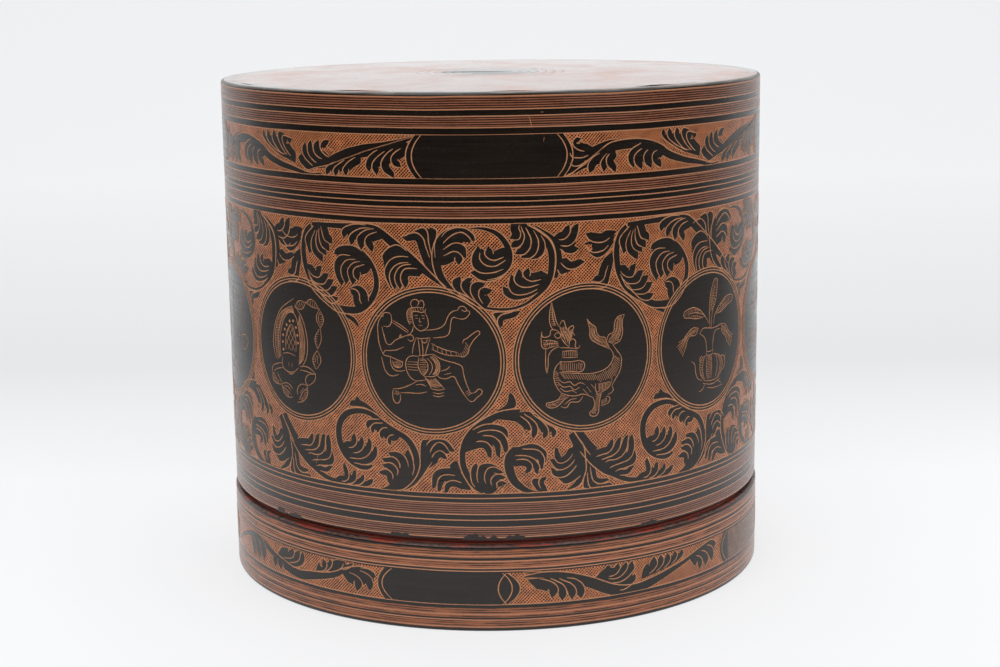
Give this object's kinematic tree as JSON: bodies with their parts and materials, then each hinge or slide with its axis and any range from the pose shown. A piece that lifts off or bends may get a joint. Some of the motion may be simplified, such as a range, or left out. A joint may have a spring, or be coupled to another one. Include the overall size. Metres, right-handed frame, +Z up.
{
  "type": "betel nut box",
  "caption": "Round lacquered bamboo betel nut box: a deep engraved cover drops over an inner cylinder that carries stacked trays and stands in a shallow skirt.",
  "frame": {"origin": "centre of the foot, on the surface that the box stands on", "axes": "+Z up along the axis of the cylinder, +X to the right and +Y to the back as seen in the picture"},
  "size_m": [0.2112, 0.2112, 0.1925],
  "materials": {
    "engraved_lacquer": "black lacquer on bamboo, engraved with orange-filled lines, semi-gloss",
    "red_lacquer": "cinnabar red lacquer on bamboo, semi-gloss",
    "black_lacquer": "plain black lacquer on bamboo, satin"
  },
  "bodies": {
    "base": {"body_wall": "red_lacquer", "body_floor": "red_lacquer", "body_foot_hoop": "black_lacquer", "skirt_band": "engraved_lacquer", "skirt_ledge_hoop": "red_lacquer", "skirt_foot_hoop": "black_lacquer"},
    "lower_tray": {"lower_tray_wall": "red_lacquer", "lower_tray_floor": "red_lacquer", "lower_tray_foot_hoop": "black_lacquer"},
    "upper_tray": {"upper_tray_wall": "red_lacquer", "upper_tray_floor": "red_lacquer", "upper_tray_foot_hoop": "black_lacquer"},
    "cover": {"cover_wall": "engraved_lacquer", "cover_top_disc": "engraved_lacquer", "cover_shoulder_hoop": "red_lacquer"}
  },
  "joints": [
    {"name": "lower_tray_lift", "type": "slide", "parent": "base", "child": "lower_tray", "axis": [0, 0, 1], "range_m": [0, 0.1]},
    {"name": "upper_tray_lift", "type": "slide", "parent": "lower_tray", "child": "upper_tray", "axis": [0, 0, 1], "range_m": [0, 0.1]},
    {"name": "cover_lift", "type": "slide", "parent": "upper_tray", "child": "cover", "axis": [0, 0, 1], "range_m": [0, 0.18]}
  ]
}
